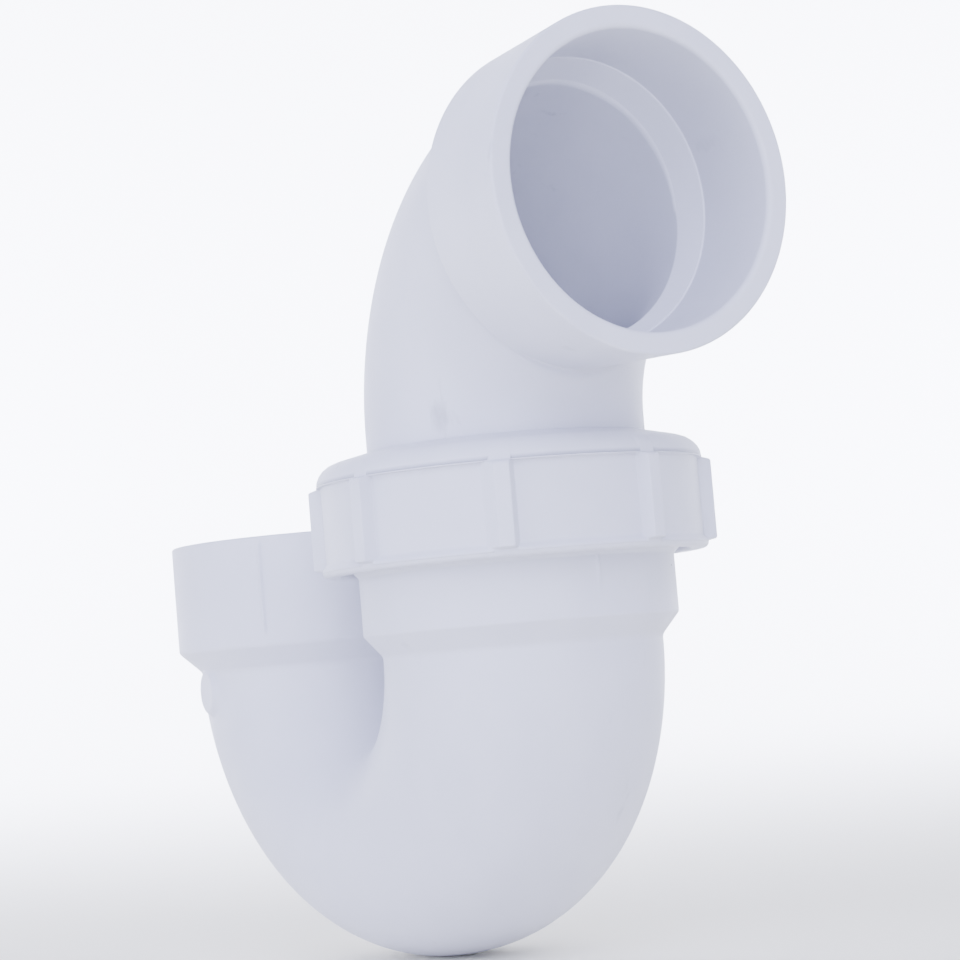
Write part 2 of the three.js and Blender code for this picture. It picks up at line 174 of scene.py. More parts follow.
PVC_TINT = (0.64, 0.645, 0.73)
PVC_SHADE = (0.60, 0.605, 0.69)
PVC_STREAK = (0.67, 0.675, 0.755)
PVC_SCUFF = (0.33, 0.34, 0.385)
PVC_SPECK = (0.1, 0.09, 0.09)
MOTTLE_SCALE = 55                # a pattern's scale is one over its cells' width in metres
STREAK_SCALE = 70
STREAK_STRETCH = (1, 1, 0.14)
STREAK_SHARE = 0.35
SCUFF_SCALE = 240
SCUFF_STRETCH = (1, 1, 0.35)
SCUFF_SHARE = 0.5
SCUFFED_PATCH_SCALE = 38
GLOSS_SCALE = 130
PVC_ROUGHNESS = (0.44, 0.56)
PVC_SPECULAR = 0.3
PVC_GRAIN = (620, 0.16, 0.2 * MM)        # a bump's pattern scale, strength and depth
PVC_RIPPLE = (62, 0.2, 0.6 * MM)
SPECK_SCALE = 80
SPECK_SIZE = 0.018
SPECK_CHOICE = (0.86, 0.88)     # a cell above this holds a speck, so about one in eight does
RUBBER_TINT = (0.018, 0.018, 0.021)
RUBBER_BLOOM = (0.05, 0.05, 0.055)
RUBBER_BLOOM_SCALE = 160
RUBBER_GLOSS_SCALE = 210
RUBBER_ROUGHNESS = (0.62, 0.85)
RUBBER_GRAIN = (2400, 0.3, 0.1 * MM)
FLOOR_TINT = (0.98, 0.96, 0.85)
FLOOR_SHADE = (0.96, 0.94, 0.83)
FLOOR_TONE_SCALE = 2.5
FLOOR_ROUGHNESS = 0.95
FLOOR_SPECULAR = 0.1
PATTERN_SHIFT = (0.37, 0.11, 0.23)      # moves each next piece's patterns, so no two match


# ------------------------------------------------------------------ outlines and skins

def outline(corners):
    """Points along a chain of (radius, height, fillet, cuts) corners.

    fillet rounds the corner, and cuts divides the straight stretch that leads to it.
    """
    spots = np.array([corner[:2] for corner in corners], float)
    points = [spots[0]]
    for index in range(1, len(corners)):
        here = spots[index]
        fillet, cuts = corners[index][2:]
        before = spots[index - 1] - here
        before_length = np.linalg.norm(before)
        before = before / before_length
        arc = []
        if index < len(corners) - 1 and fillet > 0:
            after = spots[index + 1] - here
            after = after / np.linalg.norm(after)
            half = 0.5 * math.acos(np.clip(before @ after, -1, 1))
            reach = fillet / math.tan(half)
            bisector = (before + after) / np.linalg.norm(before + after)
            middle = here + bisector * fillet / math.sin(half)
            first = here + before * reach - middle
            last = here + after * reach - middle
            sweep = math.pi - 2 * half
            turn = np.sign(first[0] * last[1] - first[1] * last[0])
            for step in range(FILLET_STEPS + 1):
                angle = turn * sweep * step / FILLET_STEPS
                cos, sin = math.cos(angle), math.sin(angle)
                arc.append(middle + [first[0] * cos - first[1] * sin, first[0] * sin + first[1] * cos])
        else:
            arc.append(here)
        start, stop = points[-1], arc[0]
        run = stop - start
        length = np.linalg.norm(run)
        guard = min(GUARD, 0.2 * length) / length
        for share in [guard] + [k / cuts for k in range(1, cuts)] + [1 - guard]:
            points.append(start + run * share)
        points.extend(arc)
    return np.array(points)


def skin(name, rings):
    """A mesh object from closed rings that follow one another and close on themselves."""
    rings = np.asarray(rings, float)
    rows, columns, _ = rings.shape
    row, column = np.meshgrid(np.arange(rows), np.arange(columns), indexing="ij")
    next_row, next_column = (row + 1) % rows, (column + 1) % columns
    quads = np.stack([
        row * columns + column,
        row * columns + next_column,
        next_row * columns + next_column,
        next_row * columns + column,
    ], axis=-1).reshape(-1, 4)
    mesh = bpy.data.meshes.new(name)
    mesh.vertices.add(rows * columns)
    mesh.vertices.foreach_set("co", rings.reshape(-1))
    mesh.loops.add(quads.size)
    mesh.loops.foreach_set("vertex_index", quads.reshape(-1))
    mesh.polygons.add(len(quads))
    mesh.polygons.foreach_set("loop_start", np.arange(len(quads)) * 4)
    mesh.update(calc_edges=True)
    mesh.validate()
    mesh.shade_smooth()
    piece = bpy.data.objects.new(name, mesh)
    bpy.context.scene.collection.objects.link(piece)
    return piece


def angles():
    return np.linspace(0, 2 * math.pi, AROUND, endpoint=False)


def bend_columns():
    """Angles round the trap bend's rings, closer together where a mark is raised on the skin."""
    across_line = np.radians(np.linspace(-LINE_COLUMN_REACH, LINE_COLUMN_REACH, LINE_COLUMNS))
    close = [
        HUB_LINE_TURN + across_line,
        COLLAR_LINE_TURN + across_line,
        np.radians(np.arange(*BOSS_COLUMNS)),
    ]
    far = np.linspace(0, 2 * math.pi, BEND_AROUND, endpoint=False)
    for group in close:
        far = far[(far < group[0] - COLUMN_GAP) | (far > group[-1] + COLUMN_GAP)]
    return np.sort(np.concatenate([far] + close))


def rings_about(centres, first, second, turn=None):
    """Elliptic rings: one centre and two half axes (both N by 3) for each."""
    turn = angles() if turn is None else turn
    cos = np.cos(turn)[None, :, None]
    sin = np.sin(turn)[None, :, None]
    return centres[:, None] + first[:, None] * cos + second[:, None] * sin


def turned_rings(points, axis_x=0.0, along_x=1, along_y=1, turn=None):
    """Rings of a turned outline about an upright axis.

    Each starts on the side of X that along_x says, and turns towards the side of Y that along_y says.
    """
    count = len(points)
    centres = np.column_stack([np.full(count, axis_x), np.zeros(count), points[:, 1]])
    first = np.column_stack([along_x * points[:, 0], np.zeros((count, 2))])
    second = np.column_stack([np.zeros(count), along_y * points[:, 0], np.zeros(count)])
    return rings_about(centres, first, second, turn)


def swell(rings, axis_x, height):
    """Moves points out from an upright axis by height."""
    radius = np.hypot(rings[..., 0] - axis_x, rings[..., 1])
    scale = 1 + height / radius
    rings[..., 0] = axis_x + (rings[..., 0] - axis_x) * scale
    rings[..., 1] *= scale


def ridge_height(phase, turn_from_start, turn_to_end):
    """How far a helical thread stands out, from 0 to THREAD_DEPTH, at a phase of -0.5 to 0.5 pitch."""
    offset = np.abs(phase) * THREAD_PITCH
    height = THREAD_DEPTH - np.maximum(0, offset - 0.5 * THREAD_CREST_WIDTH) / THREAD_FLANK_SLOPE
    run_out = np.clip(np.minimum(turn_from_start, turn_to_end) / THREAD_RUN_OUT_TURNS, 0, 1)
    return np.clip(height, 0, THREAD_DEPTH) * run_out


def thread_field(angle, z, start_z, start_turn, turns):
    """Ridge height on a cylinder, for arrays of angle and z."""
    along = (z - start_z) / THREAD_PITCH + start_turn
    turn = angle / (2 * math.pi)
    whole = np.round(along - turn)
    centre_turn = turn + whole
    phase = along - centre_turn
    return ridge_height(phase, centre_turn - start_turn, start_turn + turns - centre_turn)


# ------------------------------------------------------------------ U bend

def bend_rings(inset, sweep, turn):
    """The bend's rings from the union leg to the inlet leg, inside the wall by inset."""
    steps = len(sweep)
    across, down = np.cos(sweep), np.sin(sweep)
    side = np.sign(across)
    power = 2 / np.where(across > 0, UNION_SIDE_FULLNESS, INLET_SIDE_FULLNESS)
    half_span = 0.5 * UNION_X
    reach = half_span + TUBE_RADIUS - side * LOWEST_POINT_SHIFT
    outer = np.column_stack([
        half_span + LOWEST_POINT_SHIFT + side * reach * np.abs(across) ** power,
        np.zeros(steps),
        BEND_CENTRE_Z - BEND_OUTER_DEPTH * np.abs(down) ** power,
    ])
    inner = np.column_stack([
        half_span + (half_span - TUBE_RADIUS) * across,
        np.zeros(steps),
        BEND_CENTRE_Z - BEND_INNER_DEPTH * down,
    ])
    centre = 0.5 * (outer + inner)
    outwards = 0.5 * (outer - inner)
    length = np.linalg.norm(outwards, axis=1, keepdims=True)
    outwards *= (length - inset) / length
    lateral = np.tile([0, inset - TUBE_RADIUS, 0], (steps, 1))
    return rings_about(centre, outwards, lateral, turn)


def neck_rings(turn):
    """Outside of the union neck and collar, from its top down to the start of the bend."""
    points = outline([
        (NECK_BORE_RADIUS + 1.5 * MM, NECK_TOP_Z, 0, 1),
        (NECK_ROOT_RADIUS, NECK_TOP_Z, 0.5 * MM, 1),
        (NECK_ROOT_RADIUS, NECK_FOOT_Z, 0.3 * MM, 60),
        (COLLAR_RADIUS, NECK_FOOT_Z - 1.2 * MM, 0.5 * MM, 1),
        (COLLAR_RADIUS, COLLAR_BOTTOM_Z, 0.8 * MM, 4),
        (TUBE_RADIUS, COLLAR_BOTTOM_Z - COLLAR_CHAMFER, 1.5 * MM, 2),
        (TUBE_RADIUS, BEND_CENTRE_Z, 0, 1),
    ])
    rings = turned_rings(points, UNION_X, 1, -1, turn)
    height = thread_field(-turn[None, :], rings[..., 2], NECK_THREAD_START_Z, 0, NECK_THREAD_TURNS)
    radius = np.hypot(rings[..., 0] - UNION_X, rings[..., 1])
    on_root = np.abs(radius - NECK_ROOT_RADIUS) < 0.02 * MM
    swell(rings, UNION_X, np.where(on_root, height, 0))
    raise_mould_line(rings, turn, UNION_X, COLLAR_RADIUS, COLLAR_LINE_TURN, COLLAR_LINE_Z)
    return rings


def raise_mould_line(rings, turn, axis_x, radius, at_turn, span_z):
    """A fine ridge where the mould's halves met, on the barrel of the given radius."""
    from_axis = np.hypot(rings[..., 0] - axis_x, rings[..., 1])
    on_barrel = np.abs(from_axis - radius) < 0.3 * MM
    z = rings[..., 2]
    ends = np.clip(np.minimum(z - span_z[0], span_z[1] - z) / (1.2 * MM), 0, 1)
    across = (turn - at_turn) * radius / LINE_HALF_WIDTH
    swell(rings, axis_x, LINE_HEIGHT * np.exp(-across ** 2)[None, :] * ends * on_barrel)


def smooth(share):
    share = np.clip(share, 0, 1)
    return share * share * (3 - 2 * share)


def raise_boss(rings):
    """Lifts the outer skin to the boss's flat top, with a soft foot around it."""
    outward = np.array(BOSS_OUTWARD) / np.linalg.norm(BOSS_OUTWARD)
    offset = rings - np.array(BOSS_CENTRE)
    outwards = offset @ outward
    from_axis = np.linalg.norm(offset - outwards[..., None] * outward, axis=-1)
    share = smooth(1 - (from_axis - BOSS_RADIUS) / BOSS_FOOT)
    share *= np.abs(outwards) < BOSS_REACH
    rings += (share * (BOSS_RISE - outwards))[..., None] * outward


def inlet_rings():
    """The inlet leg's outside up to the hub's rim, then its socket and throat down to the waterway."""
    throat_z = -SOCKET_DEPTH - THROAT_DEPTH
    return outline([
        (TUBE_RADIUS, BEND_CENTRE_Z, 0, 1),
        (TUBE_RADIUS, -INLET_HUB_HEIGHT - INLET_HUB_CHAMFER, 1.5 * MM, 3),
        (INLET_HUB_RADIUS, -INLET_HUB_HEIGHT, 1.2 * MM, 2),
        (INLET_HUB_RADIUS, 0, RIM_EDGE, 30),
        (SOCKET_MOUTH_RADIUS, 0, MOUTH_EDGE, 2),
        (SOCKET_SEAT_RADIUS, -SOCKET_DEPTH, 0.2 * MM, 6),
        (THROAT_MOUTH_RADIUS, -SOCKET_DEPTH, 0.15 * MM, 1),
        (THROAT_END_RADIUS, throat_z, 0.15 * MM, 2),
        (WATERWAY_RADIUS, throat_z, 0.25 * MM, 1),
        (WATERWAY_RADIUS, BEND_CENTRE_Z, 0, 2),
    ])


def bend_outside(turn):
    """The outer skin from the neck's top, round the bend, to the top of the inlet leg."""
    sweep = np.concatenate([
        np.linspace(0, math.pi - 0.3, 210, endpoint=False),
        np.linspace(math.pi - 0.3, math.pi, 42),
    ])
    rings = np.concatenate([neck_rings(turn), bend_rings(0, sweep, turn)[1:-1]])
    inlet = turned_rings(inlet_rings(), 0, -1, -1, turn)
    raise_mould_line(inlet, turn, 0, INLET_HUB_RADIUS, HUB_LINE_TURN, HUB_LINE_Z)
    rings = np.concatenate([rings, inlet])
    raise_boss(rings)
    return rings


def make_trap_bend():
    turn = bend_columns()
    bore = outline([
        (WATERWAY_RADIUS, BEND_CENTRE_Z, 0, 1),
        (WATERWAY_RADIUS, NECK_BORE_FLOOR_Z - NECK_BORE_TAPER, 1 * MM, 1),
        (NECK_BORE_RADIUS, NECK_BORE_FLOOR_Z, 1 * MM, 2),
        (NECK_BORE_RADIUS, NECK_TOP_Z, 0.4 * MM, 6),
        (NECK_BORE_RADIUS + 1.2 * MM, NECK_TOP_Z, 0, 1),
    ])
    rings = np.concatenate([
        bend_outside(turn),
        bend_rings(WALL, np.linspace(0, math.pi, 80), turn)[::-1][1:-1],
        turned_rings(bore, UNION_X, 1, -1, turn),
    ])
    return skin("moulded_trap_bend", rings)


# ------------------------------------------------------------------ union nut

def rib_side(spread):
    """Across one half of a rib: distance from its middle, and height above the panel from 0 to 1."""
    rise = (RIB_RADIUS - NUT_PANEL_RADIUS) / MM
    face, foot = RIB_FACE_HALF / MM, (RIB_FACE_HALF + spread) / MM
    side = outline([
        (0, rise, 0, 1),
        (face, rise, 0.3, 3),
        (foot, 0, 0.3, 4),
        (foot + 1, 0, 0, 1),
    ])
    return side[:, 0] * MM / RIB_RADIUS, side[:, 1] / rise


def nut_columns():
    """Angles of the nut's columns, and how far each stands up a rib, from 0 to 1.

    A rib at 45 degrees to the mould's draw has one flank that leans with it.
    """
    angles_found, heights_found = [], []
    pitch = 2 * math.pi / RIB_COUNT
    for place in range(RIB_COUNT):
        before = rib_side(RIB_DRAWN_SPREAD if place % 4 == 3 else RIB_STEEP_SPREAD)
        after = rib_side(RIB_DRAWN_SPREAD if place % 4 == 1 else RIB_STEEP_SPREAD)
        next_spread = RIB_DRAWN_SPREAD if place % 4 == 2 else RIB_STEEP_SPREAD
        panel_end = pitch - rib_side(next_spread)[0][-1]
        panel = np.linspace(after[0][-1], panel_end, 24)[1:-1]
        middle = RIB_PHASE + pitch * place
        angles_found += [middle - before[0][:0:-1], middle + after[0], middle + panel]
        heights_found += [before[1][:0:-1], after[1], np.zeros(len(panel))]
    return np.concatenate(angles_found), np.concatenate(heights_found)


def dome_corners(corner_radius):
    """Where the dome's slope meets the plane of its outer wall, as one filleted corner."""
    slope_drop = (NUT_LEDGE_RADIUS - NUT_HOLE_RADIUS) * math.tan(DOME_SLOPE)
    return [
        (NUT_LEDGE_RADIUS, NUT_HIGH.z - slope_drop, corner_radius, 1),
        (NUT_HOLE_RADIUS, NUT_HIGH.z, 0.3 * MM, 3),
    ]


def make_union_nut():
    low = NUT_LOW.z
    bottom = [(NUT_BORE_RADIUS + 1.2 * MM, low, 0, 1), (NUT_RIM_RADIUS, low, 1 * MM, 1)]
    inside = [
        (NUT_HOLE_RADIUS, NUT_WEB_Z, 0.3 * MM, 2),
        (NUT_BORE_RADIUS, NUT_WEB_Z, 0.4 * MM, 1),
        (NUT_BORE_RADIUS, low, 0.5 * MM, 70),
        (NUT_BORE_RADIUS + 1 * MM, low, 0, 1),
    ]
    panel = outline(bottom + [
        (NUT_RIM_RADIUS, low + 1.2 * MM, 0.9 * MM, 1),
        (NUT_PANEL_RADIUS, low + 2.1 * MM, 0.9 * MM, 1),
        (NUT_PANEL_RADIUS, NUT_LEDGE_Z, 0.15 * MM, 3),
        (NUT_LEDGE_RADIUS, NUT_LEDGE_Z, 0.2 * MM, 1),
    ] + dome_corners(DOME_CORNER_RADIUS) + inside)
    ribbed = outline(bottom + [
        (NUT_RIM_RADIUS, low + 1.2 * MM, 0.15 * MM, 1),
        (RIB_RADIUS, low + 1.5 * MM, 0.35 * MM, 1),
        (RIB_RADIUS, NUT_LEDGE_Z - 0.3 * MM, 0.5 * MM, 3),
        (NUT_LEDGE_RADIUS, NUT_LEDGE_Z + 0.2 * MM, 0.05 * MM, 1),
    ] + dome_corners(RIB_DOME_CORNER_RADIUS) + inside)
    angle, height = nut_columns()
    points = panel[:, None] + (ribbed - panel)[:, None] * height[None, :, None]
    radius, z = points[..., 0], points[..., 1]
    bore = np.abs(radius - NUT_BORE_RADIUS) < 0.02 * MM
    start_z = NECK_THREAD_START_Z + (NUT_THREAD_START_TURN - 0.5) * THREAD_PITCH
    ridge = thread_field(angle[None, :], z, start_z, NUT_THREAD_START_TURN, NUT_THREAD_TURNS)
    radius = radius - np.where(bore, ridge, 0)
    rings = np.stack([
        UNION_X + radius * np.cos(angle),
        radius * np.sin(angle),
        z,
    ], axis=-1)
    return skin("moulded_union_nut", rings)


# ------------------------------------------------------------------ outlet elbow

def elbow_distance(x, y, z, tube_radius):
    """Signed distance to the elbow's tube, which turns from +Z to +X."""
    upright = np.hypot(x, y)
    from_centre = np.hypot(x - ELBOW_BEND_RADIUS, z - ELBOW_BEND_START_Z)
    bent = np.hypot(from_centre - ELBOW_BEND_RADIUS, y)
    level = np.hypot(y, z - OUTLET_Z)
    distance = np.where(z < ELBOW_BEND_START_Z, upright, np.where(x > ELBOW_BEND_RADIUS, level, bent))
    return distance - tube_radius


def hub_distance(x, y, z):
    """Signed distance to the outlet hub, with its back edge rounded."""
    edge = 0.6 * MM
    share = (x - OUTLET_HUB_START) / (OUTLET_FACE - OUTLET_HUB_START)
    radius = OUTLET_HUB_BACK_RADIUS + (OUTLET_HUB_RADIUS - OUTLET_HUB_BACK_RADIUS) * share
    over = np.hypot(y, z - OUTLET_Z) - radius + edge
    behind = OUTLET_HUB_START - x + edge
    outside = np.hypot(np.maximum(over, 0), np.maximum(behind, 0))
    return outside + np.minimum(np.maximum(over, behind), 0) - edge


def filleted_union(first, second, fillet):
    """Distance to two solids joined with a round fillet in the corner between them."""
    near = np.maximum(fillet, np.minimum(first, second))
    corner = np.hypot(np.maximum(fillet - first, 0), np.maximum(fillet - second, 0))
    return near - corner


def cast_rings(centres, directions, distance):
    """Rings where rays from each centre, in its own plane, leave the solid."""
    turn = angles()
    rays = directions[:, None] * np.cos(turn)[None, :, None]
    rays[..., 1] += np.sin(turn)[None, :]
    near = np.zeros(rays.shape[:2])
    far = np.full(rays.shape[:2], 45 * MM)
    for _ in range(30):
        middle = 0.5 * (near + far)
        spot = centres[:, None] + rays * middle[..., None]
        inside = distance(spot[..., 0], spot[..., 1], spot[..., 2]) < 0
        near = np.where(inside, middle, near)
        far = np.where(inside, far, middle)
    return centres[:, None] + rays * near[..., None]


def elbow_planes(tube_radius, end_x, count):
    """Centres and inward directions of planes that turn from level to upright at end_x.

    Each one runs through a point of the tube's inner contour and a point of its outer contour.
    """
    share = np.linspace(0, 1, count)
    contours = []
    for radius in (ELBOW_BEND_RADIUS - tube_radius, ELBOW_BEND_RADIUS + tube_radius):
        turned = share * math.acos((ELBOW_BEND_RADIUS - end_x) / radius)
        contours.append(np.column_stack([
            ELBOW_BEND_RADIUS - radius * np.cos(turned),
            np.zeros(count),
            ELBOW_BEND_START_Z + radius * np.sin(turned),
        ]))
    inner, outer = contours
    inward = (inner - outer) / np.linalg.norm(inner - outer, axis=1, keepdims=True)
    middle = 0.5 * (inner + outer)
    to_axis = middle[-1, 2] - OUTLET_Z
    return middle + inward * (to_axis * share ** 2)[:, None], inward


def outer_elbow(x, y, z):
    return filleted_union(elbow_distance(x, y, z, TUBE_RADIUS), hub_distance(x, y, z), HUB_FILLET)


def inner_elbow(x, y, z):
    """The waterway, which widens evenly to the throat's end through the later part of the bend."""
    turned = np.arctan2(z - ELBOW_BEND_START_Z, ELBOW_BEND_RADIUS - x) / (0.5 * math.pi)
    widening = smooth((turned - 0.3) / 0.55) * (THROAT_END_RADIUS - WATERWAY_RADIUS)
    return elbow_distance(x, y, z, WATERWAY_RADIUS + widening)


def inner_throat(x, y, z):
    """The waterway's tube, widened by the throat's cone."""
    share = (x - OUTLET_FACE + SOCKET_DEPTH + THROAT_DEPTH) / THROAT_DEPTH
    radius = THROAT_END_RADIUS + (THROAT_MOUTH_RADIUS - THROAT_END_RADIUS) * share
    return np.minimum(inner_elbow(x, y, z), np.hypot(y, z - OUTLET_Z) - radius)


def upright_rings(along, distance):
    """Rings cast in upright planes at the given distances along the outlet's axis."""
    count = len(along)
    centres = np.column_stack([along, np.zeros(count), np.full(count, OUTLET_Z)])
    return cast_rings(centres, np.tile([0.0, 0.0, -1.0], (count, 1)), distance)


def level_rings(points):
    """Rings of a turned outline of (radius, distance along) about the outlet's axis."""
    count = len(points)
    centres = np.column_stack([points[:, 1], np.zeros(count), np.full(count, OUTLET_Z)])
    first = np.column_stack([np.zeros((count, 2)), -points[:, 0]])
    second = np.column_stack([np.zeros(count), points[:, 0], np.zeros(count)])
    return rings_about(centres, first, second)


def make_outlet_elbow():
    foot = outline([
        (WATERWAY_RADIUS + 0.9 * MM, ARM_LOW.z, 0, 1),
        (SPIGOT_RADIUS, ARM_LOW.z, 0.6 * MM, 1),
        (SPIGOT_RADIUS, NUT_WEB_Z, 0.2 * MM, 3),
        (TUBE_RADIUS, NUT_WEB_Z, 0.3 * MM, 1),
        (TUBE_RADIUS, ELBOW_BEND_START_Z, 0, 2),
    ])
    bent = cast_rings(*elbow_planes(TUBE_RADIUS, OUTLET_HUB_START - HUB_FILLET - 0.1 * MM, 110), outer_elbow)
    step = np.linspace(0, 1, 14)
    back_edge = np.concatenate([
        OUTLET_HUB_START - (HUB_FILLET + 0.05 * MM) * (1 - np.sin(0.5 * math.pi * step[:-1])),
        [OUTLET_HUB_START - 0.004 * MM],
        OUTLET_HUB_START + 0.65 * MM * (1 - np.cos(0.5 * math.pi * step[1:])),
    ])
    barrel_start = back_edge[-1] + GUARD
    share = (barrel_start - OUTLET_HUB_START) / (OUTLET_FACE - OUTLET_HUB_START)
    barrel_radius = OUTLET_HUB_BACK_RADIUS + (OUTLET_HUB_RADIUS - OUTLET_HUB_BACK_RADIUS) * share
    stop = OUTLET_FACE - SOCKET_DEPTH
    hub = outline([
        (barrel_radius, barrel_start, 0, 1),
        (OUTLET_HUB_RADIUS, OUTLET_FACE, RIM_EDGE, 8),
        (SOCKET_MOUTH_RADIUS, OUTLET_FACE, MOUTH_EDGE, 2),
        (SOCKET_SEAT_RADIUS, stop, 0.2 * MM, 6),
        (THROAT_MOUTH_RADIUS + 0.05 * MM, stop, 0, 1),
    ])
    throat = np.linspace(stop - 0.02 * MM, stop - THROAT_DEPTH + 0.01 * MM, 30)
    waterway = cast_rings(*elbow_planes(WATERWAY_RADIUS, stop - THROAT_DEPTH, 60), inner_elbow)
    riser = outline([
        (WATERWAY_RADIUS, ELBOW_BEND_START_Z, 0, 1),
        (WATERWAY_RADIUS, ARM_LOW.z, 0.4 * MM, 4),
        (WATERWAY_RADIUS + 0.6 * MM, ARM_LOW.z, 0, 1),
    ])
    rings = np.concatenate([
        turned_rings(foot),
        bent[1:],
        upright_rings(back_edge, outer_elbow),
        level_rings(hub),
        upright_rings(throat, inner_throat),
        waterway[:0:-1],
        turned_rings(riser),
    ])
    piece = skin("moulded_outlet_elbow", rings)
    seat_on_union(piece)
    return piece


def seat_on_union(piece):
    """Turns a piece made about the origin to the arm's rest angle on the union's axis."""
    piece.data.transform(Matrix.Translation((UNION_X, 0, 0)) @ Matrix.Rotation(REST_SWIVEL, 4, "Z"))


# ------------------------------------------------------------------ end ring and gasket

def make_end_ring():
    hole = SPIGOT_RADIUS + 0.05 * MM
    outer = 28.4 * MM
    points = outline([
        (0.5 * (hole + outer), RING_LOW.z, 0, 1),
        (outer, RING_LOW.z, 0.4 * MM, 1),
        (outer, RING_HIGH.z, 0.4 * MM, 1),
        (hole, RING_HIGH.z, 0.2 * MM, 1),
        (hole, RING_LOW.z, 0.2 * MM, 1),
        (0.5 * (hole + outer) - GUARD, RING_LOW.z, 0, 1),
    ])
    piece = skin("bonded_end_ring", turned_rings(points))
    seat_on_union(piece)
    return piece


def make_gasket():
    hole = SPIGOT_RADIUS + 0.3 * MM
    outer = 0.5 * (GASKET_HIGH.x - GASKET_LOW.x)
    points = outline([
        (0.5 * (hole + outer), GASKET_LOW.z, 0, 1),
        (outer, GASKET_LOW.z, 0.5 * MM, 1),
        (outer, GASKET_HIGH.z, 0.5 * MM, 1),
        (hole, GASKET_HIGH.z, 0.4 * MM, 1),
        (hole, GASKET_LOW.z, 0.4 * MM, 1),
        (0.5 * (hole + outer) - GUARD, GASKET_LOW.z, 0, 1),
    ])
    return skin("rubber_union_gasket", turned_rings(points, UNION_X))


# ------------------------------------------------------------------ materials

def new_material(name):
    material = bpy.data.materials.new(name)
    material.use_nodes = True
    tree = material.node_tree
    return material, tree.nodes, tree.links, tree.nodes["Principled BSDF"]


def noise(nodes, links, place, scale, detail=2.0, stretch=(1, 1, 1)):
    """A noise pattern's output, with its cells about 1 / scale metres across."""
    mapping = nodes.new("ShaderNodeMapping")
    mapping.inputs["Location"].default_value = place
    mapping.inputs["Scale"].default_value = stretch
    links.new(nodes.new("ShaderNodeTexCoord").outputs["Object"], mapping.inputs["Vector"])
    pattern = nodes.new("ShaderNodeTexNoise")
    pattern.inputs["Scale"].default_value = scale
    pattern.inputs["Detail"].default_value = detail
    links.new(mapping.outputs["Vector"], pattern.inputs["Vector"])
    return pattern.outputs["Fac"]


def ranged(nodes, links, value, low, high, to_low, to_high):
    """value taken from low..high to to_low..to_high, clamped."""
    node = nodes.new("ShaderNodeMapRange")
    for name, number in (("From Min", low), ("From Max", high), ("To Min", to_low), ("To Max", to_high)):
        node.inputs[name].default_value = number
    links.new(value, node.inputs["Value"])
    return node.outputs["Result"]


def times(nodes, links, first, second):
    node = nodes.new("ShaderNodeMath")
    node.operation = "MULTIPLY"
    links.new(first, node.inputs[0])
    links.new(second, node.inputs[1])
    return node.outputs["Value"]


def blended(nodes, links, share, first, second):
    """A colour mixed from two by share. Each is a colour or another node's output."""
    node = nodes.new("ShaderNodeMix")
    node.data_type = "RGBA"
    links.new(share, node.inputs["Factor"])
    for socket, colour in ((node.inputs[6], first), (node.inputs[7], second)):
        if isinstance(colour, tuple):
            socket.default_value = (*colour, 1)
        else:
            links.new(colour, socket)
    return node.outputs[2]


def specks(nodes, links, place, scale, size):
    """Sparse round specks: 1 on a speck and 0 off it."""
    mapping = nodes.new("ShaderNodeMapping")
    mapping.inputs["Location"].default_value = place
    links.new(nodes.new("ShaderNodeTexCoord").outputs["Object"], mapping.inputs["Vector"])
    cells = nodes.new("ShaderNodeTexVoronoi")
    cells.inputs["Scale"].default_value = scale
    links.new(mapping.outputs["Vector"], cells.inputs["Vector"])
    spot = ranged(nodes, links, cells.outputs["Distance"], size, 0.8 * size, 0, 1)
    chosen = nodes.new("ShaderNodeSeparateColor")
    links.new(cells.outputs["Color"], chosen.inputs["Color"])
    few = ranged(nodes, links, chosen.outputs["Red"], *SPECK_CHOICE, 0, 1)
    return times(nodes, links, spot, few)


def bumped(nodes, links, place, look, detail):
    """A bump node on its own noise, for a look of (scale, strength, depth)."""
    scale, strength, depth = look
    bump = nodes.new("ShaderNodeBump")
    bump.inputs["Strength"].default_value = strength
    bump.inputs["Distance"].default_value = depth
    links.new(noise(nodes, links, place, scale, detail), bump.inputs["Height"])
    return bump


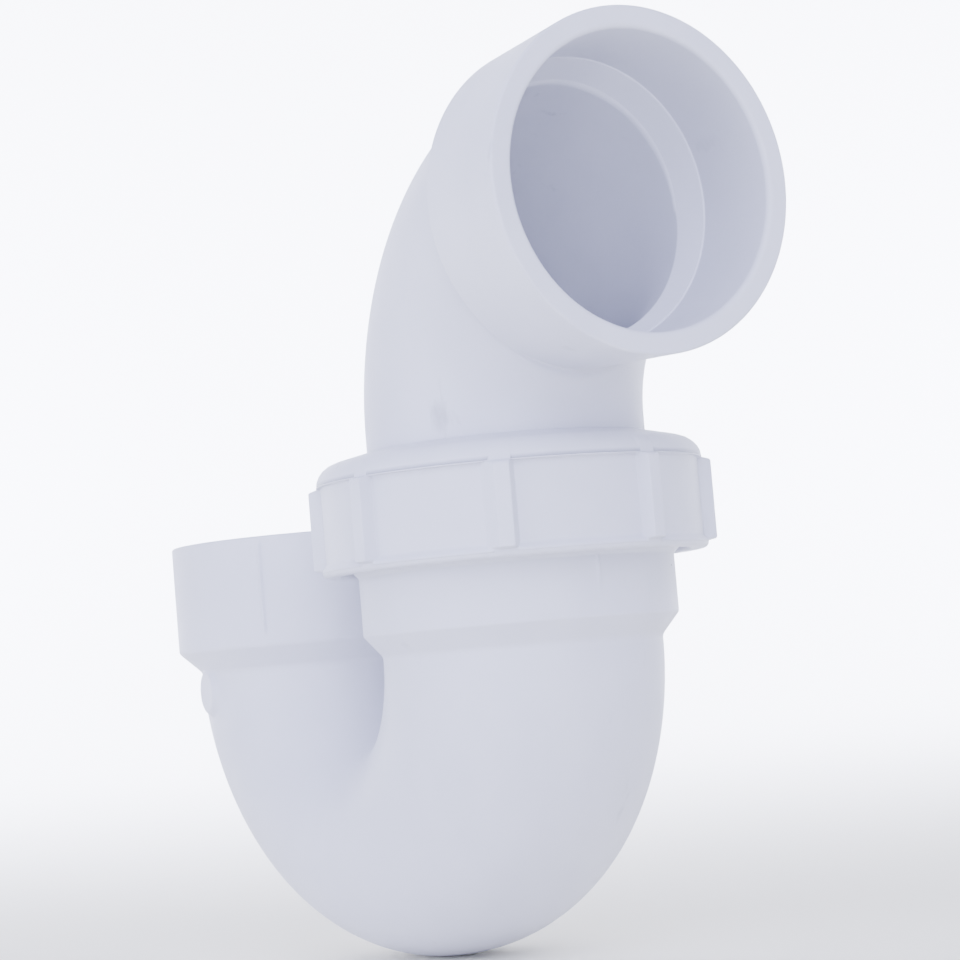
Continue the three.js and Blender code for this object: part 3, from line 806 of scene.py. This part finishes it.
def pvc_material(name, place):
    """Satin white PVC with a cold cast: faint mottling, flow streaks, handling scuffs and specks."""
    material, nodes, links, shader = new_material(name)
    mottle = ranged(nodes, links, noise(nodes, links, place, MOTTLE_SCALE, 3), 0.3, 0.7, 0, 1)
    colour = blended(nodes, links, mottle, PVC_SHADE, PVC_TINT)
    streak = noise(nodes, links, place, STREAK_SCALE, 2, STREAK_STRETCH)
    streak = ranged(nodes, links, streak, 0.56, 0.74, 0, STREAK_SHARE)
    colour = blended(nodes, links, streak, colour, PVC_STREAK)
    scuff = noise(nodes, links, place, SCUFF_SCALE, 5, SCUFF_STRETCH)
    scuff = ranged(nodes, links, scuff, 0.62, 0.74, 0, 1)
    patch = noise(nodes, links, place, SCUFFED_PATCH_SCALE, 1)
    where = ranged(nodes, links, patch, 0.58, 0.68, 0, SCUFF_SHARE)
    scuff = times(nodes, links, scuff, where)
    colour = blended(nodes, links, scuff, colour, PVC_SCUFF)
    speck = specks(nodes, links, place, SPECK_SCALE, SPECK_SIZE)
    colour = blended(nodes, links, speck, colour, PVC_SPECK)
    links.new(colour, shader.inputs["Base Color"])
    gloss = noise(nodes, links, place, GLOSS_SCALE, 4)
    gloss = ranged(nodes, links, gloss, 0.3, 0.7, *PVC_ROUGHNESS)
    links.new(gloss, shader.inputs["Roughness"])
    shader.inputs["Specular IOR Level"].default_value = PVC_SPECULAR
    grain = bumped(nodes, links, place, PVC_GRAIN, 4)
    ripple = bumped(nodes, links, place, PVC_RIPPLE, 1)
    links.new(grain.outputs["Normal"], ripple.inputs["Normal"])
    links.new(ripple.outputs["Normal"], shader.inputs["Normal"])
    return material


def rubber_material(name, place):
    """Black moulded rubber with a dusty bloom and a fine grain."""
    material, nodes, links, shader = new_material(name)
    bloom = noise(nodes, links, place, RUBBER_BLOOM_SCALE, 4)
    bloom = ranged(nodes, links, bloom, 0.4, 0.7, 0, 1)
    colour = blended(nodes, links, bloom, RUBBER_TINT, RUBBER_BLOOM)
    links.new(colour, shader.inputs["Base Color"])
    gloss = noise(nodes, links, place, RUBBER_GLOSS_SCALE, 3)
    gloss = ranged(nodes, links, gloss, 0.3, 0.7, *RUBBER_ROUGHNESS)
    links.new(gloss, shader.inputs["Roughness"])
    grain = bumped(nodes, links, place, RUBBER_GRAIN, 3)
    links.new(grain.outputs["Normal"], shader.inputs["Normal"])
    return material


def floor_material():
    material, nodes, links, shader = new_material("pale_floor")
    shader.inputs["Roughness"].default_value = FLOOR_ROUGHNESS
    shader.inputs["Specular IOR Level"].default_value = FLOOR_SPECULAR
    tone = ranged(nodes, links, noise(nodes, links, (0, 0, 0), FLOOR_TONE_SCALE, 2), 0.3, 0.7, 0, 1)
    links.new(blended(nodes, links, tone, FLOOR_TINT, FLOOR_SHADE), shader.inputs["Base Color"])
    return material


# ------------------------------------------------------------------ camera, lights and floor

CAMERA_FROM_UNION = Vector((349.86, -246.98, -26.2)) * MM
CAMERA_AZIMUTH = math.radians(-55.45)
CAMERA_ELEVATION = math.radians(4.147)
CAMERA_ROLL = math.radians(4.795)
CAMERA_LENS_MM = 93.0
CAMERA_SENSOR_MM = 36
CAMERA_NEAREST = 0.01

LIGHT_TINT = (0.70, 0.735, 1.0)
WORLD_STRENGTH = 1.58
LIGHTS = [
    ("key", (0.9, -0.45, 0.75), 0.9, 13.5),
    ("front_fill", (0.9, -0.6, 0.0), 0.6, 9.5),
    ("side_fill", (-0.15, -1.1, 0.05), 0.8, 16),
]
WASH_POWER = 105                # each of the two lights that whiten the wall behind
WASH_SIZE = 0.5
WASH_SPREAD = math.radians(115)
WASH_DEPTH = 0.25
WASH_ASIDE = 1.2
WASH_HEIGHT = 0.8
WASH_AIM_ASIDE = 0.25
WASH_AIM_DROP = 0.05
BACKDROP_NEAR_END = -2.5
BACKDROP_START = 1.0
BACKDROP_CURVE = 0.8
BACKDROP_CURVE_STEPS = 32
BACKDROP_HEIGHT = 3.0
BACKDROP_HALF_WIDTH = 3.5


def make_camera():
    data = bpy.data.cameras.new("camera")
    data.lens = CAMERA_LENS_MM
    data.sensor_width = CAMERA_SENSOR_MM
    data.clip_start = CAMERA_NEAREST
    camera = bpy.data.objects.new("camera", data)
    bpy.context.scene.collection.objects.link(camera)
    camera.location = Vector((UNION_X, 0, 0)) + CAMERA_FROM_UNION
    forward = Vector((
        math.sin(CAMERA_AZIMUTH) * math.cos(CAMERA_ELEVATION),
        math.cos(CAMERA_AZIMUTH) * math.cos(CAMERA_ELEVATION),
        math.sin(CAMERA_ELEVATION),
    ))
    upright = forward.to_track_quat("-Z", "Y").to_matrix().to_4x4()
    turned = upright @ Matrix.Rotation(-CAMERA_ROLL, 4, "Z")
    camera.rotation_euler = turned.to_euler()
    bpy.context.scene.camera = camera


def add_area_light(name, place, size, power, target=(0.5 * UNION_X, 0, 0), spread=math.pi):
    data = bpy.data.lights.new(name, "AREA")
    data.shape = "DISK"
    data.size = size
    data.energy = power
    data.color = LIGHT_TINT
    data.spread = spread
    lamp = bpy.data.objects.new(name, data)
    lamp.location = place
    lamp.rotation_euler = (Vector(target) - Vector(place)).to_track_quat("-Z", "Y").to_euler()
    bpy.context.scene.collection.objects.link(lamp)


def make_backdrop():
    """A pale floor that curves up into a wall behind the object."""
    behind = Vector((math.sin(CAMERA_AZIMUTH), math.cos(CAMERA_AZIMUTH)))
    along = Vector((-behind.y, behind.x))
    low = cad_box[0].z
    profile = [(BACKDROP_NEAR_END, 0), (0, 0)]
    for step in range(BACKDROP_CURVE_STEPS + 1):
        turn = 0.5 * math.pi * step / BACKDROP_CURVE_STEPS
        depth = BACKDROP_START + BACKDROP_CURVE * math.sin(turn)
        profile.append((depth, BACKDROP_CURVE * (1 - math.cos(turn))))
    profile.append((BACKDROP_START + BACKDROP_CURVE, BACKDROP_HEIGHT))
    points = []
    for depth, height in profile:
        for side in (-BACKDROP_HALF_WIDTH, BACKDROP_HALF_WIDTH):
            spot = Vector((UNION_X, 0)) + behind * depth + along * side
            points.append((spot.x, spot.y, low + height))
    faces = [(k, k + 1, k + 3, k + 2) for k in range(0, len(points) - 2, 2)]
    mesh = bpy.data.meshes.new("backdrop")
    mesh.from_pydata(points, [], faces)
    mesh.shade_smooth()
    backdrop = bpy.data.objects.new("backdrop", mesh)
    backdrop.data.materials.append(floor_material())
    bpy.context.scene.collection.objects.link(backdrop)


def wash_backdrop():
    """Two lights beside the object that shine only on the wall behind it."""
    behind = Vector((math.sin(CAMERA_AZIMUTH), math.cos(CAMERA_AZIMUTH), 0))
    along = Vector((-behind.y, behind.x, 0))
    wall = behind * (BACKDROP_START + BACKDROP_CURVE)
    for name, side in (("wash_left", 1), ("wash_right", -1)):
        place = behind * WASH_DEPTH + along * (side * WASH_ASIDE) + Vector((0, 0, WASH_HEIGHT))
        target = wall + along * (side * WASH_AIM_ASIDE) - Vector((0, 0, WASH_AIM_DROP))
        add_area_light(name, place, WASH_SIZE, WASH_POWER, target, WASH_SPREAD)


def make_stage():
    make_backdrop()
    wash_backdrop()
    world = bpy.data.worlds.new("studio")
    world.use_nodes = True
    world.node_tree.nodes["Background"].inputs["Color"].default_value = (*LIGHT_TINT, 1)
    world.node_tree.nodes["Background"].inputs["Strength"].default_value = WORLD_STRENGTH
    bpy.context.scene.world = world
    for name, place, size, power in LIGHTS:
        add_area_light(name, place, size, power)


# ------------------------------------------------------------------ assembly

make_camera()
make_stage()

PIECES = [
    (make_trap_bend, "trap_bend", "trap_bend", "bend_pvc", pvc_material),
    (make_union_nut, "union_nut", "union_nut", "nut_pvc", pvc_material),
    (make_outlet_elbow, "outlet_arm", "outlet_elbow", "elbow_pvc", pvc_material),
    (make_end_ring, "outlet_arm", "elbow_end_ring", "end_ring_pvc", pvc_material),
    (make_gasket, "union_gasket", "union_gasket", "gasket_rubber", rubber_material),
]
for number, (make, body, node, slot, material) in enumerate(PIECES):
    piece = make()
    place = tuple(shift * number for shift in PATTERN_SHIFT)
    piece.data.materials.append(material(slot, place))
    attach(piece, body)
    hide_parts(node)
